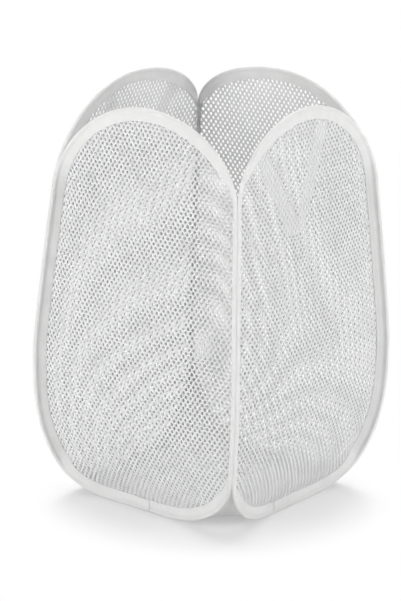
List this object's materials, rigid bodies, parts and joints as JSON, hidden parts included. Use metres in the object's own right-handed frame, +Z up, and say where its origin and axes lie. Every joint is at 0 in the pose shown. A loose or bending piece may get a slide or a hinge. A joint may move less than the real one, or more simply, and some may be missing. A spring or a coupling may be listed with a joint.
{
  "type": "pop-up laundry hamper",
  "caption": "Square open-topped laundry hamper of mesh panels on sprung wire hoops in cloth bindings, with webbing handles, that folds flat.",
  "frame": {"origin": "on the resting surface under the middle of the floor", "axes": "+Z up, -Y out of the front panel, +X out of the right panel"},
  "size_m": [0.3798, 0.3798, 0.6102],
  "materials": {
    "mesh": "white polyester knit mesh",
    "binding": "white folded polyester tape, slight sheen",
    "cloth": "white plain-woven polyester",
    "webbing": "white woven webbing, soft sheen",
    "thread": "white sewing thread",
    "spring_wire": "drawn spring steel",
    "sleeve_steel": "crimped steel tube"
  },
  "bodies": {
    "front_panel": {"front_mesh_panel": "mesh", "front_binding": "binding", "front_hoop_wire": "spring_wire", "front_wire_sleeve": "sleeve_steel", "front_binding_lap": "binding", "floor_cloth": "cloth", "front_corner_stitching": "thread", "front_corner_gusset": "cloth", "left_corner_stitching": "thread", "left_corner_gusset": "cloth"},
    "right_panel": {"right_mesh_panel": "mesh", "right_binding": "binding", "right_hoop_wire": "spring_wire", "right_wire_sleeve": "sleeve_steel", "right_binding_lap": "binding", "right_corner_stitching": "thread", "right_corner_gusset": "cloth", "right_handle_front_tack": "thread", "right_handle_back_tack": "thread"},
    "left_panel": {"left_mesh_panel": "mesh", "left_binding": "binding", "left_hoop_wire": "spring_wire", "left_wire_sleeve": "sleeve_steel", "left_binding_lap": "binding", "back_corner_stitching": "thread", "back_corner_gusset": "cloth", "left_handle_front_tack": "thread", "left_handle_back_tack": "thread"},
    "back_panel": {"back_mesh_panel": "mesh", "back_binding": "binding", "back_hoop_wire": "spring_wire", "back_wire_sleeve": "sleeve_steel", "back_binding_lap": "binding"},
    "right_handle": {"right_handle_strap": "webbing"},
    "left_handle": {"left_handle_strap": "webbing"}
  },
  "joints": [
    {"name": "front_corner_fold", "type": "hinge", "parent": "front_panel", "child": "right_panel", "pos_m": [0.132, -0.132, 0], "axis": [0, 0, 1], "range_deg": [0, 90], "stiffness_Nm_per_rad": 0.15, "deforming": ["floor_cloth", "front_corner_gusset", "right_corner_gusset", "back_corner_gusset", "left_corner_gusset"]},
    {"name": "left_corner_fold", "type": "hinge", "parent": "front_panel", "child": "left_panel", "pos_m": [-0.1863, -0.1863, 0], "axis": [0, 0, 1], "range_deg": [0, 90]},
    {"name": "back_corner_fold", "type": "hinge", "parent": "left_panel", "child": "back_panel", "pos_m": [-0.132, 0.132, 0], "axis": [0, 0, 1], "range_deg": [-90, 0]},
    {"name": "right_handle_lift", "type": "hinge", "parent": "right_panel", "child": "right_handle", "pos_m": [0.15432, -0.1, 0.562], "axis": [-0.0125, 0.9907, 0.1351], "range_deg": [0, 170]},
    {"name": "left_handle_lift", "type": "hinge", "parent": "left_panel", "child": "left_handle", "pos_m": [-0.16452, 0.1, 0.562], "axis": [-0.0125, 0.9907, -0.1351], "range_deg": [0, 172]}
  ],
  "couplings": [
    {"joint": "left_corner_fold", "follows": "front_corner_fold", "ratio": 1},
    {"joint": "back_corner_fold", "follows": "front_corner_fold", "ratio": -1}
  ]
}
